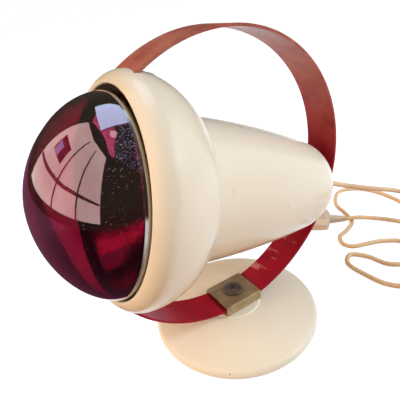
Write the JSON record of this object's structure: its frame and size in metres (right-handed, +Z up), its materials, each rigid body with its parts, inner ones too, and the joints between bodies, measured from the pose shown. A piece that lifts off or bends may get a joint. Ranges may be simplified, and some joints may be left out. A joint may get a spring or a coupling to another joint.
{
  "type": "infrared heat therapy lamp",
  "caption": "Table-top infrared heat lamp: red reflector bulb in a bell-shaped ivory housing on a red steel hoop, in a brass clamp on a round weighted foot.",
  "frame": {"origin": "middle of the foot's underside, on the table", "axes": "+Z up; the lamp shines towards -Y, and its mirror plane is x = 0"},
  "size_m": [0.2082, 0.44, 0.2336],
  "materials": {
    "housing": "gloss",
    "foot_paint": "gloss",
    "ballast": "matte",
    "foot_rubber": "matte",
    "strap_paint": "satin",
    "clamp_brass": "satin",
    "screw_steel": "satin",
    "plain_steel": "satin",
    "pad_leather": "matte",
    "ruby_glass": "gloss",
    "mirrored_glass": "gloss",
    "stem_glass": "gloss",
    "wire_metal": "satin",
    "contact_brass": "satin",
    "black_insulator": "gloss",
    "holder_ceramic": "gloss",
    "cord_rubber": "satin",
    "tie_fabric": "matte",
    "plug_plastic": "satin"
  },
  "bodies": {
    "base": {"foot_cover": "foot_paint", "foot_weight": "ballast", "foot_pad": "foot_rubber", "clamp_sleeve": "clamp_brass", "tension_screw": "screw_steel", "pressure_pad": "pad_leather", "friction_shoe": "pad_leather", "clamp_stud": "plain_steel", "stud_washer": "plain_steel", "stud_nut": "plain_steel", "cord_run": "cord_rubber", "cord_coil": "cord_rubber", "cord_tail": "cord_rubber", "cord_tie": "tie_fabric", "plug_body": "plug_plastic", "plug_pins": "contact_brass"},
    "head": {"hoop": "strap_paint", "hoop_screws": "plain_steel", "hoop_nut": "housing", "bell": "housing", "neck": "housing", "bulb_front": "ruby_glass", "bulb_reflector": "mirrored_glass", "bulb_mount": "stem_glass", "filament": "wire_metal", "bulb_cap": "contact_brass", "cap_insulator": "black_insulator", "cap_contact": "contact_brass", "holder_body": "holder_ceramic", "holder_shell": "contact_brass", "holder_contact": "contact_brass", "holder_terminals": "contact_brass", "nipple": "plain_steel", "nipple_locknut": "plain_steel", "cord_boot": "cord_rubber", "inner_lead": "cord_rubber", "inner_cores": "wire_metal"}
  },
  "joints": [
    {"name": "head_tilt", "type": "hinge", "parent": "base", "child": "head", "pos_m": [0, -0.0025, 0.1286], "axis": [1, 0, 0], "range_deg": [-38, 50]}
  ]
}
